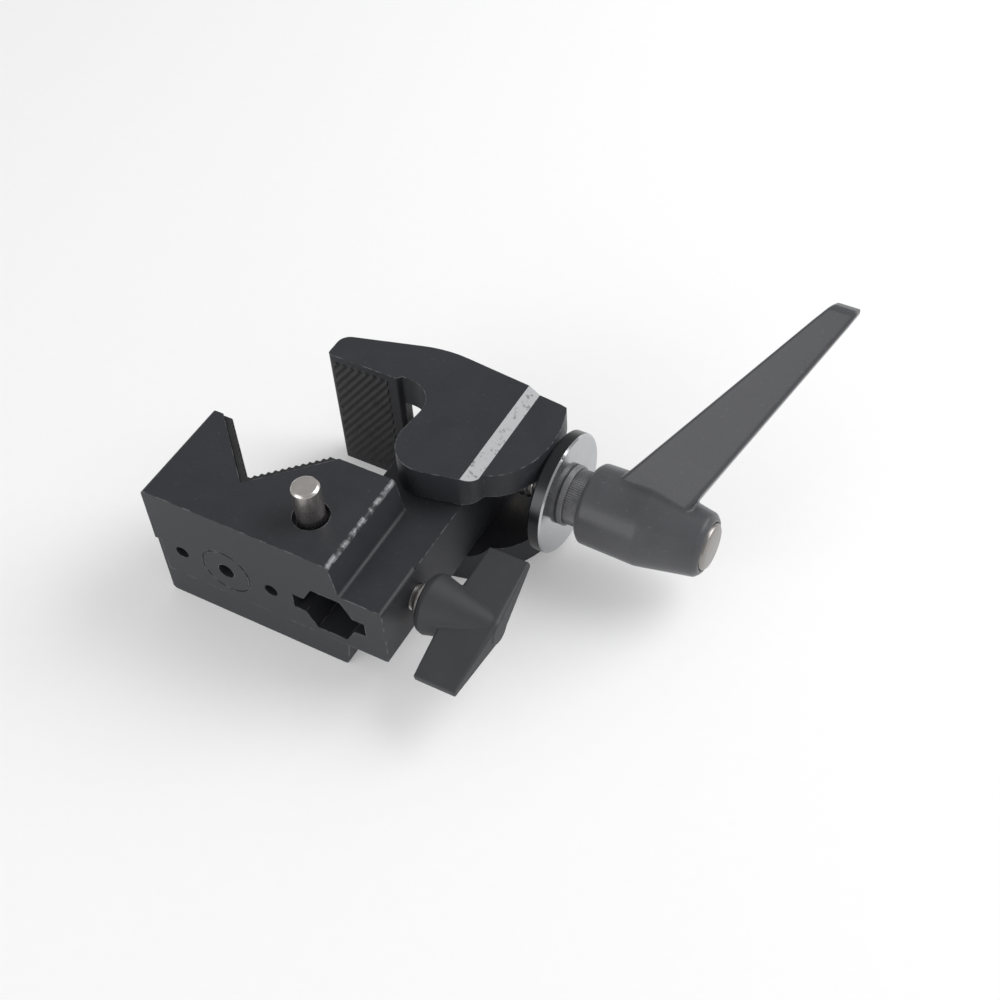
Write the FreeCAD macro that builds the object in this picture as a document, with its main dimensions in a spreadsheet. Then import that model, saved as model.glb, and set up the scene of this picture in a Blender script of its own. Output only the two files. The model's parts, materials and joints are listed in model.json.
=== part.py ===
import FreeCAD, Part
import math
import os
from types import SimpleNamespace

import Sketcher

# A lever-operated pipe clamp lying on its side, in millimetres.
# The origin is the mouth of the middle accessory thread, in the back face of the fixed jaw.
# +X runs along the fixed jaw towards the lever, +Y from the back face towards the moving jaw,
# +Z is up, and the clamp rests on the side face at z = -jaw_thickness / 2.

SIZES = {
    # casting of the fixed jaw
    "jaw_thickness": (43.4, "fixed jaw, side face to side face"),
    "jaw_left": (24.0, "accessory thread to the free end"),
    "jaw_right": (36.5, "accessory thread to the end of the thick part"),
    "jaw_depth": (33.9, "back face to the horns of the V"),
    "shoulder_draft": (1.8, "slope of the shoulder between thick part and tongue"),
    "tongue_thickness": (21.4, "tongue between the ears"),
    "tongue_width": (25.2, "tongue, near side to end face"),
    "tongue_step": (15.2, "thick part to the end face of the tongue"),
    "tongue_over": (9.0, "spindle axis to the far end of the tongue"),
    "tongue_corner": (7.0, "corner radius at the far end of the tongue"),
    "cast_radius": (1.3, "rounding of cast edges"),
    "strip_depth": (0.8, "set-back of the strips on the back face"),
    "strip_side": (2.0, "width of the short strip at the free end"),
    # the V and its liner
    "v_shift": (-0.8, "middle of the V from the accessory thread"),
    "v_half_width": (16.3, "half the mouth of the V, which is also its depth"),
    "liner_thickness": (2.2, "wall of the liner, to the tips of its teeth"),
    "liner_inset": (0.6, "side face to the end of the liner"),
    "tooth_pitch": (1.9, "liner teeth, along a flank"),
    "tooth_depth": (0.8, "liner teeth"),
    # accessory holes and spigot socket
    "accessory_radius": (2.55, "core of the middle thread"),
    "accessory_depth": (10.0, "middle thread"),
    "spot_radius": (8.0, "ring groove round the middle thread, outer radius"),
    "spot_width": (0.45, "ring groove"),
    "spot_depth": (0.3, "ring groove"),
    "side_spacing": (15.0, "middle thread to each side hole"),
    "side_radius": (2.1, "side holes"),
    "side_depth": (9.0, "side holes"),
    "socket_inset": (2.7, "axis of the hexagon socket inside the end of the thick part"),
    "socket_flats": (16.2, "hexagon socket across its flats"),
    "socket_depth": (30.0, "hexagon socket"),
    "socket_notch_span": (23.0, "hexagon socket over its two notches"),
    "socket_notch_height": (5.4, "notches"),
    # pivot and moving jaw
    "pivot_inset": (11.5, "near side of the tongue to the pivot"),
    "pivot_rise": (16.4, "horns of the V to the pivot"),
    "pivot_radius": (5.0, "shoulder of the pivot screw"),
    "pivot_thread_radius": (4.0, "threaded end of the pivot screw"),
    "pivot_head_radius": (8.0, "head of the pivot screw"),
    "pivot_head_height": (3.2, "head of the pivot screw"),
    "pivot_head_inset": (0.6, "head of the pivot screw below the side face"),
    "pivot_shoulder": (2.0, "shoulder of the pivot screw inside the upper ear"),
    "pivot_key_radius": (3.5, "hexagon key of the pivot screw, over its corners, halved"),
    "pivot_key_depth": (2.2, "hexagon key of the pivot screw"),
    "running_gap": (0.05, "radial clearance of a turning shaft"),
    "ear_gap": (0.5, "tongue to ear"),
    "washer_thickness": (0.4, "washers between tongue and ears"),
    "washer_radius": (9.6, "washers between tongue and ears"),
    "lobe_radius": (10.6, "ear round the pivot"),
    "arm_reach": (45.0, "pivot to the tip of the moving jaw, along X"),
    "arm_face": (17.0, "pivot to the rim round the pad, along Y"),
    "arm_back": (33.9, "pivot to the highest point of the back"),
    "arm_wall": (4.4, "wall behind the pad"),
    "arm_tip": (8.0, "solid tip of the moving jaw"),
    "pad_width": (18.6, "rubber pad, along X"),
    "pad_margin": (1.6, "tip of the moving jaw to the pad"),
    "pad_lip": (2.5, "lip over the end of the pad"),
    "pad_thickness": (2.6, "rubber pad"),
    "pad_sink": (2.2, "depth of the recess that holds the pad"),
    "rim_width": (3.4, "rim beside the pad"),
    "step_start": (14.0, "pivot to the start of the sloped band"),
    "step_run": (3.5, "width of the sloped band"),
    "step_drop": (2.0, "how far the tail lies below the ears"),
    "cam_radius": (16.7, "base circle of the cam on the tail"),
    "spring_pocket_radius": (9.0, "pocket of the jaw spring"),
    "spring_pocket_depth": (5.4, "pocket of the jaw spring"),
    "jaw_spring_radius": (7.1, "mean radius of the jaw spring"),
    "jaw_wire": (0.6, "wire radius of the jaw spring"),
    # spindle and thrust disc
    "spindle_radius": (4.9, "thread of the spindle"),
    "spindle_tail": (3.5, "free end of the spindle beyond the tongue"),
    "nut_radius": (8.0, "threaded bush in the tongue"),
    "nut_length": (18.0, "threaded bush in the tongue"),
    "nut_inset": (0.5, "bush below the end face of the tongue"),
    "disc_stand": (15.8, "end face of the tongue to the thrust face of the disc"),
    "disc_radius": (18.0, "thrust disc"),
    "disc_thickness": (4.2, "thrust disc"),
    "disc_edge": (0.7, "chamfer of the thrust disc"),
    "cam_gap": (0.12, "clearance of cam and disc"),
    "clip_radius": (7.0, "retaining ring on the spindle"),
    "clip_thickness": (1.0, "retaining ring on the spindle"),
    "clip_groove": (0.7, "groove of the retaining ring"),
    "flange_radius": (9.0, "flange behind the disc"),
    "flange_width": (1.8, "flange behind the disc"),
    "collar_seat": (5.0, "plain end of the spindle, in the collar"),
    "collar_length": (14.6, "serrated collar"),
    "collar_radius": (8.3, "serrated collar, tips"),
    "serration_depth": (0.4, "serrations"),
    "serration_count": (72, "serrations round the collar"),
    # lever
    "hub_stand": (4.8, "flange to the mouth of the lever hub"),
    "hub_length": (36.4, "lever hub"),
    "hub_radius": (12.4, "lever hub at its widest"),
    "hub_mouth_radius": (12.0, "lever hub at its mouth"),
    "hub_end_radius": (9.4, "lever hub at its end"),
    "serrated_length": (5.0, "serrations inside the hub"),
    "socket_gap": (0.12, "clearance round the collar"),
    "lever_tilt": (62.0, "turn of the lever from +Y towards +Z, in degrees"),
    "lever_length": (75.2, "spindle axis to the tip of the lever"),
    "blade_level": (14.0, "spindle axis to the level where the blade leaves the hub"),
    "blade_near": (9.9, "mouth of the hub to the near edge of the blade at that level"),
    "blade_near_slope": (0.678, "lean of the near edge, outward for each unit of length"),
    "blade_root": (21.4, "width of the blade at that level"),
    "blade_tip": (7.4, "width of the blade at its tip"),
    "blade_thickness": (5.8, "blade, face to face"),
    "screw_radius": (3.0, "shank of the lever screw"),
    "screw_grip": (12.0, "thread of the lever screw in the spindle"),
    "screw_head_radius": (6.9, "head of the lever screw"),
    "screw_head_height": (3.4, "head of the lever screw"),
    "screw_head_proud": (1.2, "head of the lever screw beyond the hub"),
    "chamber_length": (16.0, "spring chamber of the hub, from its end"),
    "lever_spring_radius": (5.1, "mean radius of the lever spring"),
    "lever_wire": (0.6, "wire radius of the lever spring"),
    # locking knob of the spigot socket
    "knob_y": (16.0, "back face to the axis of the locking knob"),
    "knob_tilt": (10.0, "turn of the wings from +Y towards +Z, in degrees"),
    "knob_stand": (3.5, "end face of the tongue to the hub of the knob"),
    "knob_length": (22.4, "hub of the knob"),
    "knob_radius": (8.8, "hub of the knob at its widest"),
    "knob_face_radius": (7.4, "hub of the knob at its start"),
    "knob_face_round": (2.2, "start of the hub to its widest"),
    "knob_end_radius": (3.7, "hub of the knob at its end"),
    "knob_reach": (21.3, "axis to the ends of the wings"),
    "wing_root": (7.2, "start of the hub to the wings"),
    "wing_setback": (7.8, "start of the hub to the wings, at their ends"),
    "wing_width": (12.4, "ends of the wings, along X"),
    "wing_root_thickness": (8.4, "wings at the axis"),
    "wing_tip_thickness": (2.4, "wings at their ends"),
    "ferrule_radius": (5.4, "metal ferrule of the knob"),
    "ferrule_length": (1.6, "metal ferrule of the knob, outside the hub"),
    "ferrule_sink": (2.4, "metal ferrule of the knob, inside the hub"),
    "stud_radius": (3.95, "threaded stud of the knob"),
    "stud_grip": (14.0, "stud inside the knob"),
    "tip_stand": (0.8, "hexagon corner to the pressure tip"),
    "tip_length": (3.0, "pressure tip of the stud"),
    # safety pin of the spigot socket
    "pin_play": (0.147, "corner of the hexagon socket to the flat of the safety pin"),
    "pin_y": (13.3, "back face to the safety pin"),
    "pin_radius": (4.0, "safety pin"),
    "pin_proud": (12.0, "safety pin above the side face"),
    "pin_bore_gap": (0.1, "clearance round the safety pin"),
    "pin_recess_radius": (5.2, "recess round the safety pin in the side face"),
    "pin_recess_depth": (2.4, "depth of that recess"),
    "pin_edge": (0.7, "chamfer of pins, tips and heads"),
    "pin_flat": (1.3, "axis of the safety pin to the floor of its notch"),
    "pin_travel": (6.0, "stroke of the safety pin"),
    "pin_notch_half": (4.8, "half the height of the notch"),
    "pin_flange_radius": (5.2, "flange at the foot of the safety pin"),
    "pin_flange_z": (-6.0, "top of the flange"),
    "pin_flange_height": (2.0, "flange at the foot of the safety pin"),
    "plug_height": (2.6, "screw plug under the spring"),
    "plug_inset": (0.4, "plug above the resting face"),
    "pin_spring_radius": (3.9, "mean radius of the safety spring"),
    "pin_wire": (0.45, "wire radius of the safety spring"),
}


class Size:
    """A number together with the spreadsheet formula that gives it."""

    def __init__(self, value, formula):
        self.value = value
        self.formula = formula

    def __add__(self, other):
        other = as_size(other)
        return Size(self.value + other.value, f"({self.formula} + {other.formula})")

    def __sub__(self, other):
        other = as_size(other)
        return Size(self.value - other.value, f"({self.formula} - {other.formula})")

    def __mul__(self, other):
        other = as_size(other)
        return Size(self.value * other.value, f"({self.formula} * {other.formula})")

    def __truediv__(self, other):
        other = as_size(other)
        return Size(self.value / other.value, f"({self.formula} / {other.formula})")

    def __radd__(self, other):
        return as_size(other) + self

    def __rsub__(self, other):
        return as_size(other) - self

    def __rmul__(self, other):
        return as_size(other) * self

    def __neg__(self):
        return as_size(0) - self


def as_size(item):
    """Plain numbers join a formula as they are."""
    return item if isinstance(item, Size) else Size(float(item), f"({float(item)!r})")


doc = FreeCAD.newDocument("super_clamp")
sheet = doc.addObject("Spreadsheet::Sheet", "sizes")
for row, (alias, (number, meaning)) in enumerate(SIZES.items(), start=1):
    sheet.set(f"A{row}", meaning)
    sheet.set(f"B{row}", str(number))
    sheet.setAlias(f"B{row}", alias)
doc.recompute()
s = SimpleNamespace(**{alias: Size(float(sheet.get(alias)), f"sizes.{alias}") for alias in SIZES})

X_AXIS = FreeCAD.Vector(1, 0, 0)
Z_AXIS = FreeCAD.Vector(0, 0, 1)
DIRECTIONS = {"x": X_AXIS, "y": FreeCAD.Vector(0, 1, 0), "z": Z_AXIS}
ROOT2 = math.sqrt(2)
ROOT3 = math.sqrt(3)
THROUGH = 1.0  # how far a cut runs past the face it starts from
JAW_SPRING_TURNS = 3
LEVER_SPRING_TURNS = 6
PIN_SPRING_TURNS = 5


# ---- small tools for drawing and joining ----


def bind(thing, name, size):
    thing.setExpression(name, as_size(size).formula)


def place(thing, x=0, y=0, z=0):
    """Put an object at a point that follows the sheet."""
    for axis, size in zip("xyz", (x, y, z)):
        bind(thing, f"Placement.Base.{axis}", size)
    return thing


def body(label):
    made = doc.addObject("PartDesign::Body", label)
    made.Label = label
    return made


def origin_item(of_body, role):
    return next(item for item in of_body.Origin.OriginFeatures if item.Role == role)


def sketch(of_body, plane, offset=0):
    """An empty sketch on an origin plane, moved by offset along its normal."""
    drawing = of_body.newObject("Sketcher::SketchObject", "sketch")
    drawing.AttachmentSupport = [(origin_item(of_body, plane), "")]
    drawing.MapMode = "FlatFace"
    bind(drawing, "AttachmentOffset.Base.z", offset)
    return drawing


def hold(drawing, geometry, point, position):
    """Fix a point of the drawing at its two distances from the origin."""
    for kind, size in zip(("DistanceX", "DistanceY"), position):
        size = as_size(size)
        index = drawing.addConstraint(Sketcher.Constraint(kind, -1, 1, geometry, point, size.value))
        drawing.setExpression(f"Constraints[{index}]", size.formula)


def outline(drawing, corners):
    """A closed run of straight lines through the corners."""
    points = [FreeCAD.Vector(as_size(a).value, as_size(b).value, 0) for a, b in corners]
    ends = points[1:] + points[:1]
    lines = [drawing.addGeometry(Part.LineSegment(a, b), False) for a, b in zip(points, ends)]
    for line, following in zip(lines, lines[1:] + lines[:1]):
        drawing.addConstraint(Sketcher.Constraint("Coincident", line, 2, following, 1))
    for line, corner in zip(lines, corners):
        hold(drawing, line, 1, corner)
    return drawing


def ring(drawing, centre, radius):
    middle = FreeCAD.Vector(as_size(centre[0]).value, as_size(centre[1]).value, 0)
    circle = drawing.addGeometry(Part.Circle(middle, Z_AXIS, as_size(radius).value), False)
    hold(drawing, circle, 3, centre)
    index = drawing.addConstraint(Sketcher.Constraint("Radius", circle, as_size(radius).value))
    drawing.setExpression(f"Constraints[{index}]", as_size(radius).formula)
    return drawing


def rectangle(low, high):
    return [low, (high[0], low[1]), high, (low[0], high[1])]


def pad(of_body, drawing, length, reverse=False):
    made = of_body.newObject("PartDesign::Pad", "pad")
    made.Profile = drawing
    made.Reversed = reverse
    bind(made, "Length", length)
    return made


def pocket(of_body, drawing, depth):
    """Cut against the normal of the drawing's plane."""
    made = of_body.newObject("PartDesign::Pocket", "pocket")
    made.Profile = drawing
    bind(made, "Length", depth)
    return made


def round_edges(of_body, base, radius, wanted):
    """Round the edges for which wanted(edge) is true."""
    doc.recompute()
    names = [f"Edge{i}" for i, edge in enumerate(base.Shape.Edges, start=1) if wanted(edge)]
    made = of_body.newObject("PartDesign::Fillet", "rounding")
    made.Base = (base, names)
    bind(made, "Radius", radius)
    return made


def is_along(edge, axis):
    """True for a straight edge that runs along x, y or z."""
    if not isinstance(edge.Curve, Part.Line):
        return False
    return abs(abs(edge.Curve.Direction.dot(DIRECTIONS[axis])) - 1) < 1e-6


def prism(label, plane, corners, start, length):
    """A straight-sided solid, drawn on a plane and padded along its normal."""
    made = body(label)
    pad(made, outline(sketch(made, plane, start), corners), length)
    return made


def turned(label, axis, profile):
    """A solid of revolution about x or z. The profile is (distance along the axis, radius)."""
    made = body(label)
    if axis == "x":
        drawing = outline(sketch(made, "XY_Plane"), profile)
    else:
        drawing = outline(sketch(made, "XZ_Plane"), [(radius, along) for along, radius in profile])
    spin = made.newObject("PartDesign::Revolution", "revolution")
    spin.Profile = drawing
    spin.ReferenceAxis = (origin_item(made, axis.upper() + "_Axis"), [""])
    spin.Angle = 360
    return made


def block(name, low, high):
    made = doc.addObject("Part::Box", name)
    for side, near, far in zip(("Length", "Width", "Height"), low, high):
        bind(made, side, as_size(far) - near)
    return place(made, *low)


def rod(name, axis, start, radius, length):
    made = doc.addObject("Part::Cylinder", name)
    turn = FreeCAD.Rotation(Z_AXIS, DIRECTIONS[axis])
    made.Placement = FreeCAD.Placement(FreeCAD.Vector(), turn)
    bind(made, "Radius", radius)
    bind(made, "Height", length)
    return place(made, *start)


def extrusion(name, shape, start, length):
    """A flat face in the XY plane, raised to start and extruded upwards."""
    face = doc.addObject("Part::Feature", name + "_face")
    face.Shape = shape
    made = doc.addObject("Part::Extrusion", name)
    made.Base = face
    made.DirMode = "Custom"
    made.Dir = Z_AXIS
    made.Solid = True
    bind(made, "LengthFwd", length)
    return place(made, z=start)


def joined(label, pieces):
    made = doc.addObject("Part::MultiFuse", label)
    made.Label = label
    made.Shapes = pieces
    return made


def cut(label, base, tools):
    made = doc.addObject("Part::Cut", label)
    made.Label = label
    made.Base = base
    made.Tool = tools[0] if len(tools) == 1 else joined(label + "_tools", tools)
    return made


def coil(label, start, mean_radius, wire_radius, height, turns):
    """A round-wire coil that stands on start along +Z, its wire kept inside the height."""
    rise = height - 2 * wire_radius
    path = Part.Wire(Part.makeHelix(rise / turns, rise, mean_radius).Edges)
    path.translate(FreeCAD.Vector(0, 0, wire_radius))
    slope = FreeCAD.Vector(0, 2 * math.pi * mean_radius, rise / turns)
    section = Part.Wire(Part.makeCircle(wire_radius, FreeCAD.Vector(mean_radius, 0, wire_radius), slope))
    made = doc.addObject("Part::Feature", label)
    made.Label = label
    made.Shape = path.makePipeShell([section], True, True)
    made.Placement = FreeCAD.Placement(FreeCAD.Vector(*start), FreeCAD.Rotation())
    return made


# ---- fixed jaw: a casting with a V, a spigot socket and the tongue ----

half = s.jaw_thickness / 2
tongue_half = s.tongue_thickness / 2
v_bottom = s.jaw_depth - s.v_half_width
v_growth = s.liner_thickness * ROOT2  # how much wider the V of the casting is than its liner
tongue_right = s.jaw_right + s.tongue_step
tongue_left = tongue_right - s.tongue_width
pivot_x = tongue_left + s.pivot_inset
pivot_y = s.jaw_depth + s.pivot_rise
spindle_y = pivot_y + s.cam_radius
tongue_top = spindle_y + s.tongue_over
socket_x = s.jaw_right - s.socket_inset
hex_corner = s.socket_flats / ROOT3
pin_x = socket_x - hex_corner - s.pin_flat - s.pin_play
disc_face = tongue_right + s.disc_stand
knob_start = tongue_right + s.knob_stand

fixed_jaw = body("fixed_jaw")
jaw_section = [
    (-s.jaw_left, -half),
    (s.jaw_right, -half),
    (s.jaw_right + s.shoulder_draft, -tongue_half),
    (tongue_right, -tongue_half),
    (tongue_right, tongue_half),
    (s.jaw_right + s.shoulder_draft, tongue_half),
    (s.jaw_right, half),
    (-s.jaw_left, half),
]
bar = pad(fixed_jaw, outline(sketch(fixed_jaw, "XZ_Plane"), jaw_section), s.jaw_depth, reverse=True)
round_edges(fixed_jaw, bar, s.cast_radius, lambda edge: is_along(edge, "y"))
tongue_corners = rectangle((tongue_left, s.jaw_depth - s.v_half_width), (tongue_right, tongue_top))
tongue_outline = outline(sketch(fixed_jaw, "XY_Plane", -tongue_half), tongue_corners)
tongue = pad(fixed_jaw, tongue_outline, s.tongue_thickness)
far_end = tongue_top.value
round_edges(
    fixed_jaw, tongue, s.tongue_corner,
    lambda edge: is_along(edge, "z") and abs(edge.CenterOfMass.y - far_end) < 1e-6,
)

above = half + THROUGH
v_corners = [
    (s.v_shift - s.v_half_width - v_growth - THROUGH, s.jaw_depth + THROUGH),
    (s.v_shift, v_bottom - v_growth),
    (s.v_shift + s.v_half_width + v_growth + THROUGH, s.jaw_depth + THROUGH),
]
pocket(fixed_jaw, outline(sketch(fixed_jaw, "XY_Plane", above), v_corners), 2 * above)

low_strip = rectangle((-s.jaw_left - THROUGH, -above), (tongue_right + THROUGH, -tongue_half))
side_strip = rectangle((-s.jaw_left - THROUGH, -above), (-s.jaw_left + s.strip_side, s.strip_side))
for strip in (low_strip, side_strip):
    pocket(fixed_jaw, outline(sketch(fixed_jaw, "XZ_Plane", THROUGH), strip), s.strip_depth + THROUGH)

spot_ring = ring(sketch(fixed_jaw, "XZ_Plane"), (0, 0), s.spot_radius)
pocket(fixed_jaw, ring(spot_ring, (0, 0), s.spot_radius - s.spot_width), s.spot_depth)
back_holes = [
    ((0, 0), s.accessory_radius, s.accessory_depth),
    ((-s.side_spacing, 0), s.side_radius, s.side_depth),
    ((s.side_spacing, 0), s.side_radius, s.side_depth),
]
for centre, radius, depth in back_holes:
    pocket(fixed_jaw, ring(sketch(fixed_jaw, "XZ_Plane"), centre, radius), depth)

hexagon = [
    (socket_x + hex_corner * math.cos(math.radians(60 * i)), hex_corner * math.sin(math.radians(60 * i)))
    for i in range(6)
]
notches = rectangle(
    (socket_x - s.socket_notch_span / 2, -s.socket_notch_height / 2),
    (socket_x + s.socket_notch_span / 2, s.socket_notch_height / 2),
)
for shape in (hexagon, notches):
    pocket(fixed_jaw, outline(sketch(fixed_jaw, "XZ_Plane"), shape), s.socket_depth)

end_face = tongue_right + THROUGH
nut_start = tongue_right - s.nut_inset - s.nut_length
end_holes = [
    ((spindle_y, 0), s.nut_radius, end_face - nut_start),
    ((spindle_y, 0), s.spindle_radius + 2 * s.pin_bore_gap, end_face - tongue_left + THROUGH),
    ((s.knob_y, 0), s.stud_radius + s.running_gap, end_face - socket_x),
]
for centre, radius, depth in end_holes:
    pocket(fixed_jaw, ring(sketch(fixed_jaw, "YZ_Plane", end_face), centre, radius), depth)

pin_shaft = s.pin_radius + s.pin_bore_gap
pin_foot = s.pin_flange_radius + s.pin_bore_gap
side_holes = [
    ((pivot_x, pivot_y), s.pivot_radius + s.running_gap, above, 2 * above),
    ((pivot_x, pivot_y), s.spring_pocket_radius, above, above - tongue_half + s.spring_pocket_depth),
    ((pin_x, s.pin_y), pin_shaft, above, 2 * above),
    ((pin_x, s.pin_y), s.pin_recess_radius, above, above - half + s.pin_recess_depth),
    ((pin_x, s.pin_y), pin_foot, s.pin_flange_z, above + s.pin_flange_z),
]
for centre, radius, height, depth in side_holes:
    pocket(fixed_jaw, ring(sketch(fixed_jaw, "XY_Plane", height), centre, radius), depth)


# ---- liner of the V, with teeth on both flanks ----


def liner_face():
    """Cross-section of the liner: a plain V outside, teeth inside."""
    middle = s.v_shift.value
    top = s.jaw_depth.value
    wide = s.v_half_width.value
    depth = s.tooth_depth.value
    count = int(wide * ROOT2 / s.tooth_pitch.value)
    pitch = wide * ROOT2 / count
    flank = []
    for tooth in range(count):
        tip = pitch * tooth
        root = tip + pitch / 2
        flank.append((-wide + tip / ROOT2, top - tip / ROOT2))
        flank.append((-wide + (root - depth) / ROOT2, top - (root + depth) / ROOT2))
    apex = [(0, top - wide)]
    outer = wide + v_growth.value
    outside = [(outer, top), (0, top - outer), (-outer, top)]
    mirrored = [(-x, y) for x, y in reversed(flank)]
    corners = [FreeCAD.Vector(middle + x, y, 0) for x, y in flank + apex + mirrored + outside]
    return Part.Face(Part.makePolygon(corners + corners[:1]))


v_liner = extrusion("v_liner", liner_face(), -half + s.liner_inset, s.jaw_thickness - 2 * s.liner_inset)

spindle_nut = turned(
    "spindle_nut", "x",
    rectangle((nut_start, s.spindle_radius + s.running_gap), (nut_start + s.nut_length, s.nut_radius)),
)
place(spindle_nut, y=spindle_y)

spring_floor = tongue_half - s.spring_pocket_depth
jaw_spring = coil(
    "jaw_spring",
    (pivot_x.value, pivot_y.value, spring_floor.value),
    s.jaw_spring_radius.value, s.jaw_wire.value, s.spring_pocket_depth.value, JAW_SPRING_TURNS,
)


# ---- moving jaw: two ears joined by the wall behind the pad ----

cam_at_rest = (disc_face.value - s.cam_gap.value - pivot_x.value) / s.cam_radius.value
cam_closing = 1.31  # radians of cam left for closing the jaw
cam_opening = 0.41  # radians of cam left for opening it
cam_steps = 12


def cam_point(unwound):
    """A point of the cam, an involute of the base circle about the pivot, with the jaw at rest.

    Unwound is the length of taut thread over the base radius. It is cam_at_rest where the cam meets
    the disc, so turning the jaw by an angle moves the disc by exactly cam_radius times the angle.
    """
    base = s.cam_radius.value
    pivot = FreeCAD.Vector(pivot_x.value, pivot_y.value, 0)
    turn = FreeCAD.Rotation(Z_AXIS, math.degrees(unwound - cam_at_rest))
    return pivot + turn.multVec(FreeCAD.Vector(base * unwound, base, 0))


def rounded_run(corners):
    """Lines and tangent arcs through corners given as (point, radius). The two ends stay as they are."""
    edges = []
    start = corners[0][0]
    for (before, _), (corner, radius), (after, _) in zip(corners, corners[1:], corners[2:]):
        back = (before - corner).normalize()
        on = (after - corner).normalize()
        half_angle = back.getAngle(on) / 2
        reach = radius / math.tan(half_angle)
        middle = (back + on).normalize() * (radius / math.sin(half_angle) - radius)
        entry = corner + back * reach
        leave = corner + on * reach
        edges.append(Part.LineSegment(start, entry).toShape())
        edges.append(Part.Arc(entry, corner + middle, leave).toShape())
        start = leave
    edges.append(Part.LineSegment(start, corners[-1][0]).toShape())
    return edges


def moving_jaw_face():
    """Side outline of the moving jaw: arm, ear lobe and cam tail."""
    span = (cam_opening + cam_closing) / cam_steps
    cam = [cam_point(cam_at_rest + cam_opening - span * i) for i in range(cam_steps + 1)]
    pivot = FreeCAD.Vector(pivot_x.value, pivot_y.value, 0)
    cam_high = cam[0] - pivot
    cam_low = cam[-1] - pivot
    tip_x = -s.arm_reach.value
    face_y = s.arm_face.value
    back_y = s.arm_back.value
    lobe = s.lobe_radius.value
    rim_x = tip_x + s.pad_margin.value + s.pad_width.value + s.rim_width.value
    around = [
        ((cam_low.x - 1.9, cam_low.y - 5.1), 6.0),  # under the tail
        ((-lobe - 0.4, -lobe - 3.2), lobe),  # ear round the pivot
        ((-7.7, face_y + 1.4), 9.0),  # throat between lobe and arm
        ((rim_x + 1.0, face_y + 1.4), 0.8),
        ((rim_x, face_y), 0.8),
        ((tip_x, face_y), 1.2),
        ((tip_x, face_y + 8.4), 4.0),  # back of the tip
        ((-14.4, back_y), 40.0),  # highest point of the back
        ((cam_high.x - 1.8, cam_high.y + 0.4), 2.0),  # end of the back
    ]
    corners = [(cam[-1], 0)]
    corners += [(pivot + FreeCAD.Vector(x, y, 0), radius) for (x, y), radius in around]
    corners.append((cam[0], 0))
    edges = rounded_run(corners)
    curve = Part.BSplineCurve()
    curve.interpolate(cam)
    edges.append(curve.toShape())
    return Part.Face(Part.Wire(Part.__sortEdges__(edges)))


ear_inside = tongue_half + s.ear_gap
rim_x = pivot_x - s.arm_reach + s.pad_margin + s.pad_width + s.rim_width
face_y = pivot_y + s.arm_face
far_x = disc_face + s.disc_radius
far_y = pivot_y + s.arm_back + s.arm_back
near_y = pivot_y - s.arm_back
blank = extrusion("moving_jaw_blank", moving_jaw_face(), -half, s.jaw_thickness)
behind_wall = block(
    "behind_wall",
    (pivot_x - s.arm_reach + s.arm_tip, face_y + s.arm_wall, -ear_inside),
    (far_x, far_y, ear_inside),
)
between_ears = block("between_ears", (rim_x + THROUGH, near_y, -ear_inside), (far_x, far_y, ear_inside))
pad_low_x = pivot_x - s.arm_reach + s.pad_margin
pad_half = half - s.pad_lip
pad_recess = block(
    "pad_recess",
    (pad_low_x, face_y - THROUGH, -pad_half),
    (pad_low_x + s.pad_width, face_y + s.pad_sink, pad_half),
)
tail_steps = []
for name, side in (("upper_step", 1), ("lower_step", -1)):
    band = pivot_x + s.step_start
    step_corners = [
        (band, side * above),
        (band, side * half),
        (band + s.step_run, side * (half - s.step_drop)),
        (far_x, side * (half - s.step_drop)),
        (far_x, side * above),
    ]
    tail_steps.append(prism(name, "XZ_Plane", step_corners, -far_y, far_y - near_y))
head_bottom = -half + s.pivot_head_inset
head_top = head_bottom + s.pivot_head_height
shoulder_top = ear_inside + s.pivot_shoulder
thread_top = half - s.pivot_head_height
pivot_hole = joined("pivot_hole", [
    rod("head_bore", "z", (pivot_x, pivot_y, -above), s.pivot_head_radius, head_top + above),
    rod("shoulder_bore", "z", (pivot_x, pivot_y, -above), s.pivot_radius, shoulder_top + above),
    rod("thread_bore", "z", (pivot_x, pivot_y, -above), s.pivot_thread_radius, thread_top + above),
])
moving_jaw = cut("moving_jaw", blank, [behind_wall, between_ears, pad_recess, *tail_steps, pivot_hole])

jaw_pad = block(
    "jaw_pad",
    (pad_low_x, face_y + s.pad_sink - s.pad_thickness, -pad_half),
    (pad_low_x + s.pad_width, face_y + s.pad_sink, pad_half),
)

pivot_screw_profile = [
    (head_bottom, 0),
    (head_bottom, s.pivot_head_radius),
    (head_top, s.pivot_head_radius),
    (head_top, s.pivot_radius),
    (shoulder_top, s.pivot_radius),
    (shoulder_top, s.pivot_thread_radius),
    (thread_top, s.pivot_thread_radius),
    (thread_top, 0),
]
key_corners = [
    (s.pivot_key_radius * math.cos(angle), s.pivot_key_radius * math.sin(angle))
    for angle in [math.radians(60 * i) for i in range(6)]
]
hex_key = prism("pivot_key", "XY_Plane", key_corners, head_bottom - THROUGH, s.pivot_key_depth + THROUGH)
pivot_screw = cut("pivot_screw", turned("pivot_turning", "z", pivot_screw_profile), [hex_key])
place(pivot_screw, x=pivot_x, y=pivot_y)

washer_play = (s.ear_gap - s.washer_thickness) / 2
washers = []
for name, low in (
    ("upper_washer", tongue_half + washer_play),
    ("lower_washer", -tongue_half - washer_play - s.washer_thickness),
):
    washer_profile = rectangle(
        (low, s.pivot_radius + s.running_gap), (low + s.washer_thickness, s.washer_radius)
    )
    washers.append(place(turned(name, "z", washer_profile), x=pivot_x, y=pivot_y))
pivot_washers = doc.addObject("Part::Compound", "pivot_washers")
pivot_washers.Links = washers


# ---- spindle, thrust disc and serrated collar, all about the spindle axis ----

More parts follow.
